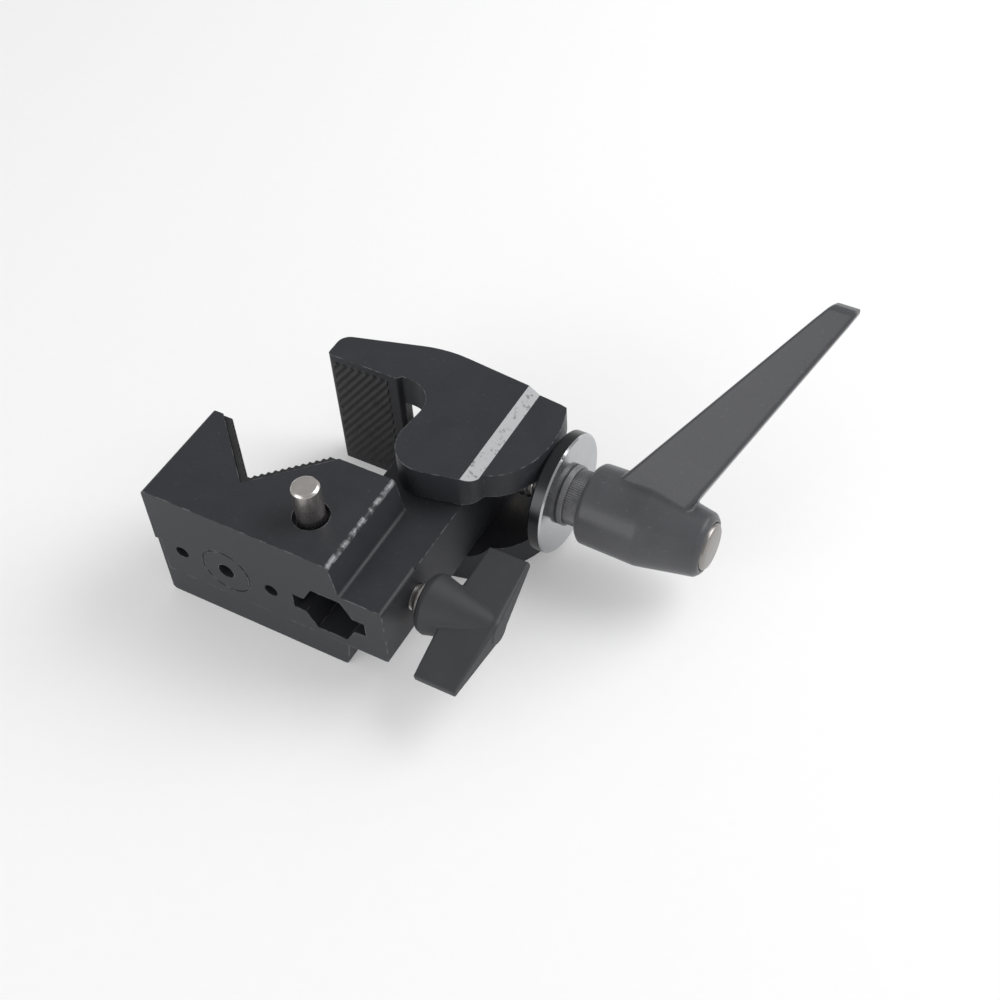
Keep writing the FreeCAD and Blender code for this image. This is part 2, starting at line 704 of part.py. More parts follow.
disc_back = disc_face + s.disc_thickness
groove_radius = s.spindle_radius - s.clip_groove
disc_bore = s.spindle_radius + 2 * s.running_gap
thrust_disc = turned("thrust_disc", "x", [
    (disc_face, disc_bore),
    (disc_face, s.disc_radius - s.disc_edge),
    (disc_face + s.disc_edge, s.disc_radius),
    (disc_back - s.disc_edge, s.disc_radius),
    (disc_back, s.disc_radius - s.disc_edge),
    (disc_back, disc_bore),
])
place(thrust_disc, y=spindle_y)

flange_start = disc_back + 2 * s.running_gap
flange_end = flange_start + s.flange_width
collar_end = flange_end + s.collar_length
groove_end = disc_face - 2 * s.running_gap
groove_start = groove_end - s.clip_thickness
spindle_start = tongue_left - s.spindle_tail
spindle = turned("spindle", "x", [
    (spindle_start, 0),
    (spindle_start, s.spindle_radius - s.clip_groove),
    (spindle_start + s.clip_groove, s.spindle_radius),
    (groove_start, s.spindle_radius),
    (groove_start, groove_radius),
    (groove_end, groove_radius),
    (groove_end, s.spindle_radius),
    (flange_start, s.spindle_radius),
    (flange_start, s.flange_radius),
    (flange_end, s.flange_radius),
    (flange_end, s.collar_seat),
    (collar_end, s.collar_seat),
    (collar_end, s.screw_radius),
    (collar_end - s.screw_grip, s.screw_radius),
    (collar_end - s.screw_grip, 0),
])
place(spindle, y=spindle_y)
clip_profile = rectangle((groove_start, groove_radius), (groove_end, s.clip_radius))
spindle_clip = turned("spindle_clip", "x", clip_profile)
place(spindle_clip, y=spindle_y)


def serrated_face(tip_radius, hole_radius):
    """A star-shaped disc about the origin, with a round hole if hole_radius is above zero."""
    count = int(s.serration_count.value)
    root_radius = tip_radius - s.serration_depth.value
    corners = []
    for i in range(2 * count):
        radius = tip_radius if i % 2 == 0 else root_radius
        angle = math.pi * i / count
        corners.append(FreeCAD.Vector(radius * math.cos(angle), radius * math.sin(angle), 0))
    face = Part.Face(Part.makePolygon(corners + corners[:1]))
    if hole_radius > 0:
        face = face.cut(Part.Face(Part.Wire(Part.makeCircle(hole_radius))))
    return face


def along_spindle(thing):
    """Turn a solid built about +Z so that it lies along +X on the spindle axis."""
    thing.Placement = FreeCAD.Placement(FreeCAD.Vector(), FreeCAD.Rotation(Z_AXIS, X_AXIS))
    return thing


serrated_collar = along_spindle(
    extrusion(
        "serrated_collar",
        serrated_face(s.collar_radius.value, s.collar_seat.value),
        0,
        s.collar_length,
    )
)
place(serrated_collar, x=flange_end, y=spindle_y)


# ---- lever, with its hub, spring and screw ----

hub_start = flange_end + s.hub_stand
hub_end = hub_start + s.hub_length
hub_middle = hub_start + s.hub_length / 2
hub_profile = [
    (hub_start, 0),
    (hub_start, s.hub_mouth_radius - s.cast_radius),
    (hub_start + s.cast_radius, s.hub_mouth_radius),
    (hub_middle, s.hub_radius),
    (hub_end - s.cast_radius, s.hub_end_radius),
    (hub_end, s.hub_end_radius - s.cast_radius),
    (hub_end, 0),
]
SECTION_ROUNDING = 0.14  # corner radius of a blade or wing, as a share of its thickness
BLADE_ROOT = s.blade_level.value / s.lever_length.value
BLADE = [
    # share of the length, share of the width there, share of the thickness
    (0.06, 1.0, 1.7),
    (BLADE_ROOT, 1.0, 1.4),
    (0.30, 1.0, 1.1),
    (0.60, 1.0, 1.0),
    (0.93, 1.0, 0.9),
    (0.985, 0.97, 0.82),
    (1.00, 0.82, 0.6),
]


def flat_section(level, left, right, thickness):
    """A rounded rectangle at y = level, flat in X, as one section of a loft."""
    corners = [
        (left, thickness / 2),
        (right, thickness / 2),
        (right, -thickness / 2),
        (left, -thickness / 2),
    ]
    points = [FreeCAD.Vector(x, level, z) for x, z in corners]
    top_middle = (points[0] + points[1]) * 0.5
    radius = thickness * SECTION_ROUNDING
    run = [(top_middle, 0), *((point, radius) for point in points[1:] + points[:1]), (top_middle, 0)]
    made = doc.addObject("Part::Feature", "section")
    made.Shape = Part.Wire(rounded_run(run))
    return made


def lofted(name, sections):
    made = doc.addObject("Part::Loft", name)
    made.Sections = sections
    made.Solid = True
    made.Ruled = True
    return made


def blade_section(share, width_share, thickness_share):
    """A section of the blade, at a share of the lever's length along +Y."""
    level = s.lever_length.value * share
    rise = level - s.blade_level.value
    narrowing = (s.blade_root.value - s.blade_tip.value) / (s.lever_length.value - s.blade_level.value)
    full_width = s.blade_root.value - narrowing * rise
    near = hub_start.value + s.blade_near.value + s.blade_near_slope.value * rise
    trim = full_width * (1 - width_share) / 2
    thickness = s.blade_thickness.value * thickness_share
    return flat_section(level, near + trim, near + full_width - trim, thickness)


blade = lofted("blade", [blade_section(*row) for row in BLADE])

socket_end = collar_end + s.socket_gap
mouth_bore = rod("mouth_bore", "x", (hub_start - THROUGH, 0, 0), s.collar_radius + s.socket_gap,
                 socket_end - s.serrated_length - hub_start + THROUGH)
toothed_bore = along_spindle(
    extrusion(
        "toothed_bore",
        serrated_face(s.collar_radius.value + s.socket_gap.value, 0),
        0,
        s.serrated_length,
    )
)
in_mesh = FreeCAD.Rotation(X_AXIS, -s.lever_tilt.value)  # undone when the whole lever is tilted
toothed_bore.Placement.Rotation = in_mesh.multiply(toothed_bore.Placement.Rotation)
place(toothed_bore, x=socket_end - s.serrated_length)
shank_bore = rod("shank_bore", "x", (hub_start, 0, 0), s.screw_radius + s.socket_gap, s.hub_length)
chamber_start = hub_end - s.chamber_length
spring_chamber = rod("spring_chamber", "x", (chamber_start, 0, 0), s.screw_head_radius + s.socket_gap,
                     s.chamber_length + THROUGH)
lever = cut(
    "lever",
    joined("lever_casting", [turned("lever_hub", "x", hub_profile), blade]),
    [mouth_bore, toothed_bore, shank_bore, spring_chamber],
)
lever.Placement = FreeCAD.Placement(FreeCAD.Vector(), FreeCAD.Rotation(X_AXIS, s.lever_tilt.value))
place(lever, y=spindle_y)

screw_end = hub_end + s.screw_head_proud
head_start = screw_end - s.screw_head_height
lever_screw = turned("lever_screw", "x", [
    (collar_end - s.screw_grip, 0),
    (collar_end - s.screw_grip, s.screw_radius),
    (head_start, s.screw_radius),
    (head_start, s.screw_head_radius),
    (screw_end - s.pin_edge, s.screw_head_radius),
    (screw_end, s.screw_head_radius - s.pin_edge),
    (screw_end, 0),
])
place(lever_screw, y=spindle_y)

lever_spring = coil(
    "lever_spring", (0, 0, 0), s.lever_spring_radius.value, s.lever_wire.value,
    (head_start - chamber_start).value, LEVER_SPRING_TURNS,
)
along_spindle(lever_spring)
lever_spring.Placement.Base = FreeCAD.Vector(chamber_start.value, spindle_y.value, 0)


# ---- locking knob of the spigot socket ----

knob_end = knob_start + s.knob_length
knob_hub = turned("knob_hub", "x", [
    (knob_start, 0),
    (knob_start, s.knob_face_radius),
    (knob_start + s.knob_face_round / 3, (s.knob_face_radius + 2 * s.knob_radius) / 3),
    (knob_start + s.knob_face_round, s.knob_radius),
    (knob_end, s.knob_end_radius),
    (knob_end, 0),
])
wing_low = (knob_start + s.wing_setback).value
wing_high = wing_low + s.wing_width.value
wings = lofted("knob_wings", [
    flat_section(-s.knob_reach.value, wing_low, wing_high, s.wing_tip_thickness.value),
    flat_section(0, (knob_start + s.wing_root).value, knob_end.value, s.wing_root_thickness.value),
    flat_section(s.knob_reach.value, wing_low, wing_high, s.wing_tip_thickness.value),
])
tip_start = socket_x + hex_corner + s.tip_stand
stud_start = tip_start + s.tip_length
stud_hole = rod("stud_hole", "x", (knob_start - THROUGH, 0, 0), s.stud_radius, s.stud_grip + THROUGH)
ferrule_seat_start = (knob_start - THROUGH, 0, 0)
ferrule_seat = rod(
    "ferrule_seat", "x", ferrule_seat_start, s.ferrule_radius, s.ferrule_sink + THROUGH
)
t_knob = cut("t_knob", joined("knob_moulding", [knob_hub, wings]), [stud_hole, ferrule_seat])
t_knob.Placement = FreeCAD.Placement(FreeCAD.Vector(), FreeCAD.Rotation(X_AXIS, s.knob_tilt.value))
place(t_knob, y=s.knob_y)

t_knob_ferrule = turned("t_knob_ferrule", "x", rectangle(
    (knob_start - s.ferrule_length, s.stud_radius), (knob_start + s.ferrule_sink, s.ferrule_radius)
))
place(t_knob_ferrule, y=s.knob_y)
t_knob_stud = turned("t_knob_stud", "x", [
    (stud_start, 0),
    (stud_start, s.stud_radius),
    (knob_start + s.stud_grip, s.stud_radius),
    (knob_start + s.stud_grip, 0),
])
place(t_knob_stud, y=s.knob_y)
tip_end = stud_start - s.running_gap
stud_tip = turned("stud_tip", "x", [
    (tip_start, 0),
    (tip_start, s.stud_radius - s.pin_edge),
    (tip_start + s.pin_edge, s.stud_radius),
    (tip_end, s.stud_radius),
    (tip_end, 0),
])
place(stud_tip, y=s.knob_y)


# ---- spring-loaded safety pin of the spigot socket ----

pin_top = half + s.pin_proud
flange_foot = s.pin_flange_z - s.pin_flange_height
pin_turning = turned("pin_turning", "z", [
    (flange_foot, 0),
    (flange_foot, s.pin_flange_radius),
    (s.pin_flange_z, s.pin_flange_radius),
    (s.pin_flange_z, s.pin_radius),
    (pin_top - s.pin_edge, s.pin_radius),
    (pin_top, s.pin_radius - s.pin_edge),
    (pin_top, 0),
])
pin_notch = block(
    "pin_notch",
    (s.pin_flat, -s.pin_radius - THROUGH, s.pin_travel - s.pin_notch_half),
    (s.pin_radius + THROUGH, s.pin_radius + THROUGH, s.pin_travel + s.pin_notch_half),
)
safety_pin = cut("safety_pin", pin_turning, [pin_notch])
place(safety_pin, x=pin_x, y=s.pin_y)

plug_low = -half + s.plug_inset
plug_top = plug_low + s.plug_height
plug_turning = turned("plug_turning", "z", rectangle((plug_low, 0), (plug_top, pin_foot)))
plug_slot = block(
    "plug_slot", (-pin_foot - THROUGH, -s.pin_edge, plug_low - THROUGH),
    (pin_foot + THROUGH, s.pin_edge, plug_low + s.pin_edge),
)
safety_plug = cut("safety_plug", plug_turning, [plug_slot])
place(safety_plug, x=pin_x, y=s.pin_y)
safety_spring = coil(
    "safety_spring", (pin_x.value, s.pin_y.value, plug_top.value),
    s.pin_spring_radius.value, s.pin_wire.value, (flange_foot - plug_top).value, PIN_SPRING_TURNS,
)


# ---- checks and files ----

NODES = [
    fixed_jaw, v_liner, spindle_nut, jaw_spring,
    moving_jaw, jaw_pad, pivot_screw, pivot_washers,
    thrust_disc, spindle, spindle_clip, serrated_collar,
    lever, lever_screw, lever_spring,
    t_knob, t_knob_ferrule, t_knob_stud, stud_tip,
    safety_pin, safety_spring, safety_plug,
]

doc.recompute()
for item in doc.Objects:
    if "Invalid" in item.State or "Error" in item.State:
        raise RuntimeError(f"{item.Label} did not build: {item.State}")
os.makedirs("parts", exist_ok=True)
for node in NODES:
    if node.Shape.isNull() or not node.Shape.isValid() or node.Shape.Volume <= 0:
        raise RuntimeError(f"{node.Label} has no valid solid")
    node.Shape.exportStep(f"parts/{node.Label}.step")
    print(f"{node.Label}: {len(node.Shape.Solids)} solid, {node.Shape.Volume / 1000:.2f} cm3")
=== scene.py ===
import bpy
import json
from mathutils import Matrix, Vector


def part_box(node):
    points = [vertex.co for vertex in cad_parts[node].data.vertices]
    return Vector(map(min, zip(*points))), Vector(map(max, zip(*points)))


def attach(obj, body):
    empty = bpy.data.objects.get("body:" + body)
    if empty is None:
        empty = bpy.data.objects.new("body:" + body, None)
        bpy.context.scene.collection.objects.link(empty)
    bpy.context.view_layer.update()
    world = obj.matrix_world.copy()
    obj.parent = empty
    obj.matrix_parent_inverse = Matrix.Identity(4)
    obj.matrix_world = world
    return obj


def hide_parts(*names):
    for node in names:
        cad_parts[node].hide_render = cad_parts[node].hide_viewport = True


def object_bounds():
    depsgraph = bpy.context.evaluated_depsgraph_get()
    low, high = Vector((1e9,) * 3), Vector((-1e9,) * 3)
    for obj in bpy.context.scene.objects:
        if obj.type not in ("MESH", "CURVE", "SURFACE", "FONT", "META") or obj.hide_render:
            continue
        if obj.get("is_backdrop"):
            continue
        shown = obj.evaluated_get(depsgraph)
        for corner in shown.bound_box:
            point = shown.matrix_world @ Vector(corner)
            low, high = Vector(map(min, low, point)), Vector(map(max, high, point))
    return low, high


bl_info = {
    "name": "Super Clamp",
    "version": (1, 0, 0),
    "blender": (4, 5, 0),
    "location": "View3D > Sidebar > Clamp",
    "description": "Models and finishes the pieces of a lever-operated pipe clamp on its CAD frame",
    "category": "Object",
}

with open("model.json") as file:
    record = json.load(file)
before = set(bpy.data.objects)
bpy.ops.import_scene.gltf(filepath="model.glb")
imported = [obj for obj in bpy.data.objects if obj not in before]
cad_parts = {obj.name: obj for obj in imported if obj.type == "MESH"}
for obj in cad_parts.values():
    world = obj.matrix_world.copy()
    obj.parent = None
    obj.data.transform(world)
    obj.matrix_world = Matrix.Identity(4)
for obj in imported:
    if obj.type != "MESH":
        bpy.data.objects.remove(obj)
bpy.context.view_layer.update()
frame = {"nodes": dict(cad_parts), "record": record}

import json
import math

import bpy
from mathutils import Vector

MM = 0.001
FULL_TURN = 2 * math.pi
HAIR = 1e-6  # points closer than this are one point
CLEAR = 0.02 * MM  # air between a piece and the one beside it
X_AXIS = Vector((1, 0, 0))
SHARP = 28  # degrees between faces, past which an edge of a copied piece is rounded
CREASE = 50  # degrees between faces, past which shading breaks
BRASS = (0.55, 0.42, 0.20)
BUSH_WALL = 3.1 * MM  # from the spindle's thread to the outside of its bush
NECK_STEP = 0.7 * MM  # from the spindle's shank down to the groove of its retaining ring
SCREW_SHANK = 3 * MM  # radius of the lever screw under its head
SCREW_HEAD = 3.4 * MM  # height of the head
EYE = Vector((0.21504, -0.19523, 0.34160))
EYE_TURN = (40.812, 2.893, 28.869)  # degrees
KEY_PLACE = Vector((0.62, 0.62, 0.70))
FRONT_PLACE = Vector((-0.30, -0.85, 0.30))
LIT = Vector((0.055, 0.045, 0))  # the point that both lights face


def middle(node):
    """The middle of a CAD node's box."""
    low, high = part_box(node)
    return (low + high) / 2


def pitch_of(feed, turn):
    """How far a screw moves in one turn, from the coupling of its turn and its feed."""
    for coupling in frame["record"]["behaviour"]["couplings"]:
        pair = (coupling["joint"], coupling["follows"])
        if pair == (feed, turn):
            return abs(coupling["ratio"]) * FULL_TURN
        if pair == (turn, feed):
            return FULL_TURN / abs(coupling["ratio"])
    raise ValueError(f"no coupling joins {feed} and {turn}")


# ---- sizes and colours that a user would change ----


def length(name, description, default):
    return bpy.props.FloatProperty(name=name, description=description, default=default, min=0,
                                   unit="LENGTH")


def share(name, description, default):
    return bpy.props.FloatProperty(name=name, description=description, default=default, min=0, max=1,
                                   subtype="FACTOR")


def colour(name, description, default):
    return bpy.props.FloatVectorProperty(name=name, description=description, default=default, size=3,
                                         min=0, max=1, subtype="COLOR")


def turn(name, description, degrees):
    return bpy.props.FloatProperty(name=name, description=description, default=math.radians(degrees),
                                   subtype="ANGLE", unit="ROTATION")


class CastingSettings(bpy.types.PropertyGroup):
    coat: colour("Coat", "Colour of the black coat on both jaws", (0.0285, 0.0295, 0.0345))
    gloss: share("Roughness", "Roughness of the coat", 0.42)
    metal: colour("Bare metal", "Colour of the metal where the coat is worn off", (0.62, 0.63, 0.65))
    edge: length("Edge radius", "Rounding of the cast edges", 0.45 * MM)
    shoulder: length("Shoulder radius", "Rounding of the step between block and tongue", 1.5 * MM)


class RubberSettings(bpy.types.PropertyGroup):
    black: colour("Rubber", "Colour of the pad and the liner", (0.011, 0.011, 0.012))
    rib_pitch: length("Rib pitch", "Distance from rib to rib of the pad", 2.0 * MM)
    rib_height: length("Rib height", "Height of the ribs of the pad", 0.55 * MM)
    rib_angle: turn("Rib angle", "Lean of the ribs from the length of the jaw", -38)
    edge: length("Edge radius", "Rounding of the liner's edges", 0.22 * MM)


class SteelSettings(bpy.types.PropertyGroup):
    plated: colour("Plated steel", "Colour of the thrust disc", (0.49, 0.50, 0.52))
    thread: colour("Thread steel", "Colour of the spindle and the stud", (0.46, 0.45, 0.44))
    nickel: colour("Nickel", "Colour of the pin, the ferrule and the lever screw", (0.56, 0.53, 0.51))
    oxide: colour("Black oxide", "Colour of the collar and the flange", (0.15, 0.15, 0.155))
    thread_depth: length("Thread depth", "Crest to root of the spindle's thread", 0.75 * MM)
    stud_depth: length("Stud thread depth", "Crest to root of the stud's thread", 0.5 * MM)


class LeverSettings(bpy.types.PropertyGroup):
    coat: colour("Coat", "Colour of the lever's coat", (0.078, 0.079, 0.086))
    grain: length("Blend step", "Cell size of the mesh that blends blade and hub", 0.40 * MM)
    passes: bpy.props.IntProperty(name="Blend passes", description="How often the blend is smoothed",
                                  default=3, min=0, max=30)


class KnobSettings(bpy.types.PropertyGroup):
    plastic: colour("Plastic", "Colour of the T-knob", (0.030, 0.031, 0.034))
    grain: length("Blend step", "Cell size of the mesh that blends wings and hub", 0.26 * MM)
    passes: bpy.props.IntProperty(name="Blend passes", description="How often the blend is smoothed",
                                  default=2, min=0, max=30)


class StageSettings(bpy.types.PropertyGroup):
    floor: colour("Floor", "Colour of the floor", (0.68, 0.68, 0.68))
    glow: share("Floor glow", "Light that the floor gives off by itself", 0.27)
    sky: share("Sky", "Strength of the light from all round", 0.5)
    key: bpy.props.FloatProperty(name="Key light", description="Power of the large soft light",
                                 default=9.0, min=0)
    fill: bpy.props.FloatProperty(name="Fill light", description="Power of the light from the front",
                                  default=4.0, min=0)


# ---- modelling by hand, one step at a time ----


def deselect():
    bpy.ops.object.select_all(action="DESELECT")


def take(piece):
    """Make the piece the only selected object and the active one."""
    deselect()
    piece.select_set(True)
    bpy.context.view_layer.objects.active = piece


def edit():
    bpy.ops.object.mode_set(mode="EDIT")
    bpy.ops.mesh.select_mode(type="VERT")


def leave_edit():
    bpy.ops.object.mode_set(mode="OBJECT")


def named(name):
    """Name the new active object."""
    piece = bpy.context.object
    piece.name = name
    piece.data.name = name
    return piece


def pick_edges(piece, wanted):
    """Select just the edges for which wanted(one end, other end) is true, and go into edit mode."""
    mesh = piece.data
    mesh.vertices.foreach_set("select", [False] * len(mesh.vertices))
    mesh.polygons.foreach_set("select", [False] * len(mesh.polygons))
    for edge in mesh.edges:
        ends = [mesh.vertices[i] for i in edge.vertices]
        edge.select = wanted(ends[0].co, ends[1].co)
        if edge.select:
            for end in ends:
                end.select = True
    take(piece)
    bpy.context.tool_settings.mesh_select_mode = (False, True, False)
    bpy.ops.object.mode_set(mode="EDIT")


def copy_of(node, name):
    """A copy of a CAD node, its loose triangles merged and its flat faces made whole."""
    source = frame["nodes"][node]
    piece = bpy.data.objects.new(name, source.data.copy())
    bpy.context.scene.collection.objects.link(piece)
    piece.data.materials.clear()
    take(piece)
    if piece.data.has_custom_normals:
        bpy.ops.mesh.customdata_custom_splitnormals_clear()
    edit()
    bpy.ops.mesh.select_all(action="SELECT")
    bpy.ops.mesh.remove_doubles(threshold=HAIR)
    bpy.ops.mesh.dissolve_limited(angle_limit=math.radians(0.5), delimit={"NORMAL"})
    leave_edit()
    return piece


def modify(piece, kind, **settings):
    """Add a modifier and apply it at once."""
    take(piece)
    modifier = piece.modifiers.new(kind.title(), kind)
    for name, value in settings.items():
        setattr(modifier, name, value)
    bpy.ops.object.modifier_apply(modifier=modifier.name)


def rounded(piece, radius, angle=SHARP):
    """Round every edge sharper than the angle, in degrees, and keep the wide faces flat."""
    modify(piece, "BEVEL", width=radius, segments=2, limit_method="ANGLE",
           angle_limit=math.radians(angle), harden_normals=False, miter_outer="MITER_ARC")
    smoothed(piece, CREASE)
    modify(piece, "WEIGHTED_NORMAL", mode="FACE_AREA", weight=100, keep_sharp=True)


def smoothed(piece, angle=30):
    """Shade the piece smooth, except across edges sharper than the angle, in degrees."""
    take(piece)
    bpy.ops.object.shade_smooth_by_angle(angle=math.radians(angle))


def blended(piece, cell, passes):
    """Melt joined solids into one skin with soft inner corners, as in a casting."""
    modify(piece, "REMESH", mode="VOXEL", voxel_size=cell, adaptivity=0.0)
    modify(piece, "SMOOTH", factor=0.5, iterations=passes)
    take(piece)
    bpy.ops.object.shade_smooth()


def drawn(name, points):
    """A run of edges, drawn by extruding one point from each place to the next."""
    deselect()
    bpy.ops.mesh.primitive_plane_add(size=MM, location=points[0])
    piece = named(name)
    bpy.ops.object.transform_apply(location=True, rotation=True, scale=True)
    edit()
    bpy.ops.mesh.select_all(action="SELECT")
    bpy.ops.mesh.merge(type="CENTER")
    for before, after in zip(points, points[1:]):
        step = Vector(after) - Vector(before)
        bpy.ops.mesh.extrude_region_move(TRANSFORM_OT_translate={"value": step})
    leave_edit()
    return piece


def closed_up(piece):
    """Merge doubles and turn all normals outwards."""
    take(piece)
    edit()
    bpy.ops.mesh.select_all(action="SELECT")
    bpy.ops.mesh.remove_doubles(threshold=HAIR)
    bpy.ops.mesh.normals_make_consistent(inside=False)
    leave_edit()


def lathed(name, centre_y, profile, steps=96):
    """A piece turned about a line along X. The profile holds (x, radius), and a ring's is closed."""
    points = [(x, centre_y + radius, 0) for x, radius in profile]
    piece = drawn(name, points)
    take(piece)
    edit()
    bpy.ops.mesh.select_all(action="SELECT")
    bpy.ops.mesh.spin(steps=steps, angle=FULL_TURN, center=(0, centre_y, 0), axis=X_AXIS)
    leave_edit()
    closed_up(piece)
    smoothed(piece)
    return piece


def ring_profile(start, end, inner, outer, edge):
    """A closed profile of a ring with chamfered edges."""
    return [
        (start, inner), (start, outer - edge), (start + edge, outer), (end - edge, outer),
        (end, outer - edge), (end, inner), (start, inner),
    ]


def sliced(piece, point, normal):
    """Cut off what lies beyond the point, along the normal, and close the cut."""
    take(piece)
    edit()
    bpy.ops.mesh.select_all(action="SELECT")
    bpy.ops.mesh.bisect(plane_co=point, plane_no=normal, use_fill=True, clear_outer=True)
    leave_edit()


def threaded(name, centre_y, start, end, crest, depth, pitch):
    """A rod with a right-handed thread, along X from start to end."""
    root = crest - depth
    flank, rise, fall = 0.12 * pitch, 0.44 * pitch, 0.62 * pitch  # where the crest begins and ends
    tooth = [(0, root), (flank, root), (rise, crest), (fall, crest), (pitch, root)]
    first = start - 1.5 * pitch
    piece = drawn(name, [(first + along, radius, 0) for along, radius in tooth])
    turns = math.ceil((end - first) / pitch) + 1
    modify(piece, "SCREW", axis="X", angle=FULL_TURN, screw_offset=pitch, iterations=turns, steps=36,
           render_steps=36, use_merge_vertices=True, merge_threshold=HAIR)
    take(piece)
    edit()
    bpy.ops.mesh.select_all(action="SELECT")
    bpy.ops.transform.translate(value=(0, centre_y, 0))
    leave_edit()
    sliced(piece, (end, centre_y, 0), (1, 0, 0))
    sliced(piece, (start, centre_y, 0), (-1, 0, 0))
    closed_up(piece)
    smoothed(piece, 40)
    return piece


def give(piece, body, slot, finish, *nodes):
    """Hand a finished piece to its body, with its finish and the CAD nodes it stands for."""
    piece.data.materials.clear()
    piece.data.materials.append(finish)
    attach(piece, body)
    if nodes:
        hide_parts(*nodes)


def repaint(node, finish):
    """A better material on a CAD node that stays as it is."""
    for slot in frame["nodes"][node].material_slots:
        slot.material = finish


# ---- finishes ----


class Wire:
    """The output of a shader node. A sum, a product or a difference of wires adds a Math node."""

    def __init__(self, finish, socket):
        self.finish = finish
        self.socket = socket

    def maths(self, operation, first, second):
        return self.finish.node("ShaderNodeMath", {"operation": operation}, {0: first, 1: second})

    def __add__(self, other):
        return self.maths("ADD", self, other)

    def __radd__(self, other):
        return self.maths("ADD", other, self)

    def __sub__(self, other):
        return self.maths("SUBTRACT", self, other)

    def __rsub__(self, other):
        return self.maths("SUBTRACT", other, self)

    def __mul__(self, other):
        return self.maths("MULTIPLY", self, other)

    def __rmul__(self, other):
        return self.maths("MULTIPLY", other, self)


class Finish:
    """A material under construction, on Object coordinates, ending in a Principled shader."""

    def __init__(self, name):
        self.material = bpy.data.materials.new(name)
        self.material.use_nodes = True
        self.tree = self.material.node_tree
        self.shader = self.tree.nodes["Principled BSDF"]
        self.place = self.node("ShaderNodeTexCoord", {}, {}, "Object")

    def node(self, kind, settings, inputs, output=0):
        """Add a node: its settings first, then its sockets. Returns the wire of one output."""
        made = self.tree.nodes.new(kind)
        for name, value in settings.items():
            setattr(made, name, value)
        for socket, value in inputs.items():
            self.feed(made.inputs[socket], value)
        return Wire(self, made.outputs[output])

    def feed(self, socket, value):
        if isinstance(value, Wire):
            self.tree.links.new(value.socket, socket)
        else:
            socket.default_value = value

    def noise(self, size, detail=2.0, stretch=(1, 1, 1), shift=0.0):
        """Cloudy values from 0 to 1, with spots of about the size in metres."""
        where = self.node("ShaderNodeMapping", {}, {
            "Vector": self.place, "Scale": stretch, "Location": (shift, shift, shift),
        })
        return self.node("ShaderNodeTexNoise", {}, {
            "Vector": where, "Scale": 1 / size, "Detail": detail,
        })

    def cells(self, size):
        """Distance from the nearest of many scattered points, in spots of about the size."""
        inputs = {"Vector": self.place, "Scale": 1 / size}
        return self.node("ShaderNodeTexVoronoi", {}, inputs, "Distance")

    def smooth(self, value, low, high):
        """0 below low, 1 above high and a soft rise between them."""
        return self.node("ShaderNodeMapRange", {"interpolation_type": "SMOOTHSTEP"},
                         {"Value": value, "From Min": low, "From Max": high})

    def mix(self, factor, first, second):
        """A colour between two colours."""
        return self.node("ShaderNodeMix", {"data_type": "RGBA"},
                         {0: factor, 6: self.paint(first), 7: self.paint(second)}, 2)

    def paint(self, value):
        return value if isinstance(value, Wire) else (*value[:3], 1.0)

    def soft_normal(self, radius):
        """The normal as if every edge were rounded to the radius."""
        return self.node("ShaderNodeBevel", {"samples": 4}, {"Radius": radius})

    def edges(self, radius):
        """Near 1 along sharp edges and 0 on open faces."""
        flat = self.node("ShaderNodeNewGeometry", {}, {}, "Normal")
        agree = self.node("ShaderNodeVectorMath", {"operation": "DOT_PRODUCT"},
                          {0: self.soft_normal(radius), 1: flat}, "Value")
        return self.smooth(1 - agree, 0.01, 0.22)

    def bump(self, height, depth):
        return self.node("ShaderNodeBump", {}, {"Height": height, "Distance": depth, "Strength": 1.0})

    def surface(self, **sockets):
        """Feed the shader's own sockets, named as in base_color, and hand over the material."""
        for name, value in sockets.items():
            title = name.replace("_", " ").title().replace("Ior", "IOR")
            self.feed(self.shader.inputs[title], value)
        return self.material


def shade(tint, factor):
    """A colour made darker or lighter."""
    return tuple(min(1.0, channel * factor) for channel in tint[:3])


def cast_coat(name, coat, roughness, metal, wear=0.30):
    """Satin black coat on a casting: fine grain, soft blotches, bright metal along rubbed edges."""
    f = Finish(name)
    grain = f.noise(0.42 * MM, 2.0)
    blotch = f.noise(9 * MM, 4.0)
    dust = f.smooth(f.noise(1.1 * MM, 5.0, shift=0.3), 0.60, 0.78)
    rubbed = f.edges(0.55 * MM) * f.smooth(f.noise(2.6 * MM, 5.0, shift=0.7), 0.42, 0.62)
    base = f.mix(blotch, shade(coat, 0.82), shade(coat, 1.20))
    base = f.mix(dust * 0.22, base, shade(coat, 3.0))
    worn = rubbed * wear
    return f.surface(
        base_color=f.mix(worn, base, metal),
        roughness=roughness + 0.16 * (blotch - 0.5) + 0.10 * dust + 0.05 * (grain - 0.5),
        specular_ior_level=0.26,
        metallic=worn,
        normal=f.bump(grain + 0.5 * dust, 0.035 * MM),
    )


def rubbed_metal(name, metal):
    """A machined band where the coat is gone: streaks across it and dark scuffs."""
    f = Finish(name)
    streaks = f.noise(0.30 * MM, 3.0, stretch=(1, 0.12, 1))
    scuffs = f.smooth(f.noise(1.6 * MM, 5.0), 0.55, 0.72)
    base = f.mix(streaks, shade(metal, 0.30), shade(metal, 0.62))
    return f.surface(
        base_color=f.mix(scuffs * 0.7, base, shade(metal, 0.12)),
        roughness=0.46 + 0.22 * streaks,
        metallic=0.72 - 0.3 * scuffs,
        normal=f.bump(streaks + scuffs, 0.03 * MM),
    )


